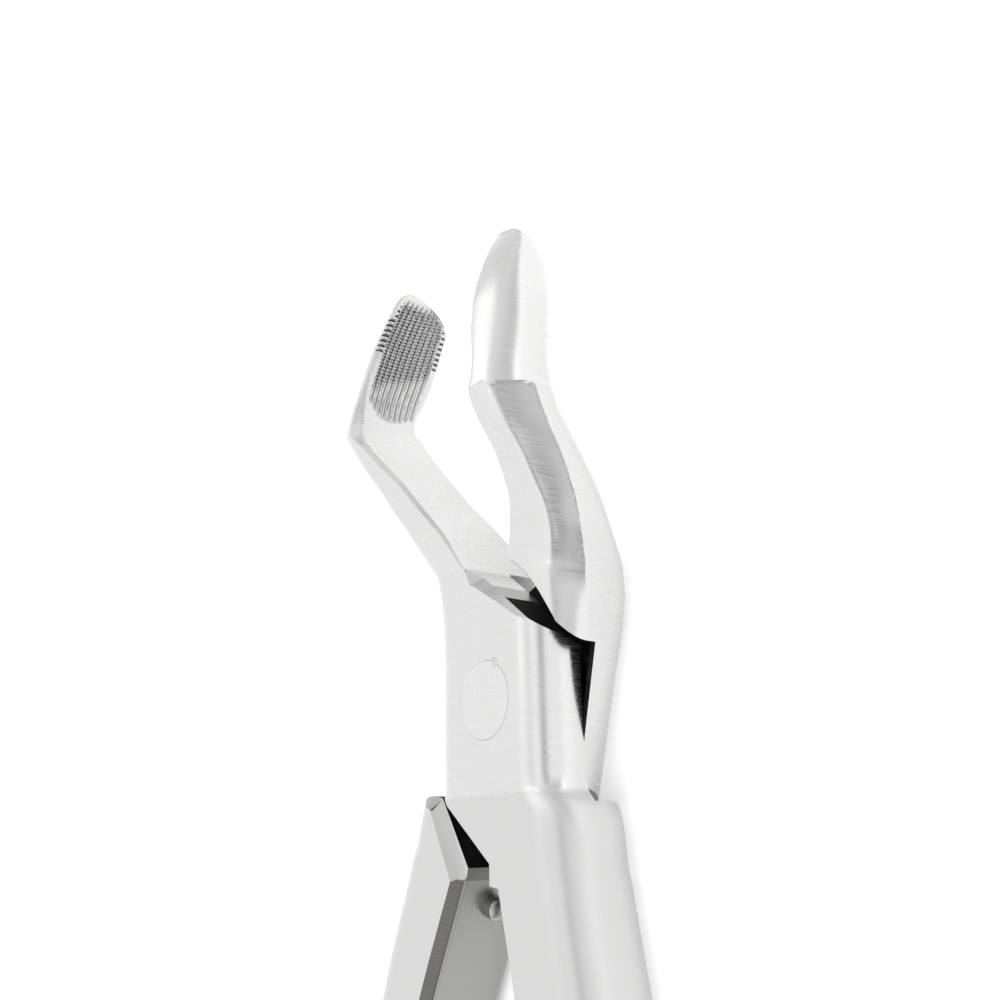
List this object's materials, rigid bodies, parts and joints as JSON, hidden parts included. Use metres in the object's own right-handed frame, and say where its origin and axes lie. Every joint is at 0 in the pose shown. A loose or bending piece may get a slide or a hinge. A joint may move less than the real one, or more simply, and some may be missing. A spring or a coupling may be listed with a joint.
{
  "type": "extraction forceps",
  "caption": "Dental extraction forceps with bayonet-cranked serrated beaks, a flush screw joint and bowed textured handles.",
  "frame": {"origin": "on the pivot axis, at the flat underside of the joint where the forceps rests on a table", "axes": "+Z along the pivot axis away from the table, +Y from the pivot towards the beak tips, X is the direction in which the beaks open"},
  "size_m": [0.0723, 0.1726, 0.023],
  "materials": {
    "forged_steel": "satin, brushed at the joint, shanks and beaks, bead-blasted on the handles",
    "screw_steel": "ground flush and satin",
    "pin_steel": "turned, lightly polished"
  },
  "bodies": {
    "rear": {"rear_half": "forged_steel", "stop_pin": "pin_steel"},
    "front": {"front_half": "forged_steel", "pivot_screw": "screw_steel", "lock_pin": "pin_steel"}
  },
  "joints": [
    {"name": "pivot", "type": "hinge", "parent": "rear", "child": "front", "pos_m": [0, 0, 0.0053], "axis": [0, 0, 1], "range_deg": [-14, 18]}
  ]
}
